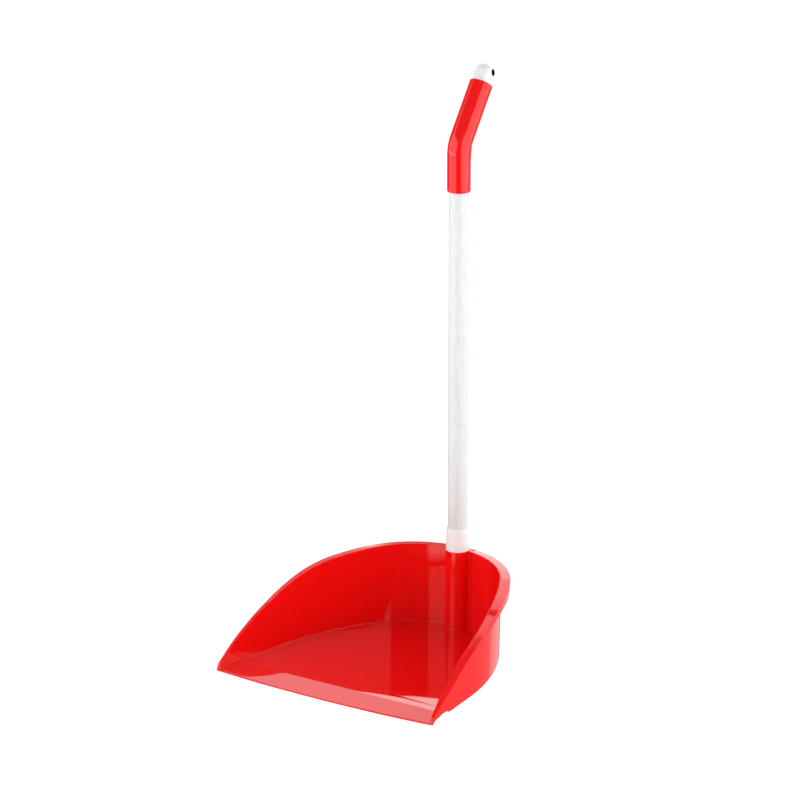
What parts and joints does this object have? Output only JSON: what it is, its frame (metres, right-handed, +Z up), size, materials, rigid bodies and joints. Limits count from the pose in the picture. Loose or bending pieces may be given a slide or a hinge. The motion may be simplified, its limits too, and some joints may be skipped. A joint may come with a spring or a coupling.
{
  "type": "long-handled dustpan",
  "caption": "Upright long-handled dustpan: an open moulded scoop with a socket column, a steel handle with a bent hand grip, and a cap with a hanging hole.",
  "frame": {"origin": "bottom centre of the bounding box, on the floor", "axes": "+X across the scoop, -Y towards its open front edge, +Z up along the handle"},
  "size_m": [0.3234, 0.3666, 0.7213],
  "materials": {
    "scoop_plastic": "glossy red moulding",
    "tube_steel": "bare light steel under the film",
    "handle_film": "glossy shrunk film with fine lengthwise creases",
    "white_plastic": "glossy white moulding",
    "grip_plastic": "glossy red sleeve",
    "cap_plastic": "glossy white moulding"
  },
  "bodies": {
    "root": {"scoop": "scoop_plastic", "handle_tube": "tube_steel", "handle_film": "handle_film", "collar": "white_plastic", "grip": "grip_plastic", "hanger_cap": "cap_plastic"}
  },
  "joints": []
}
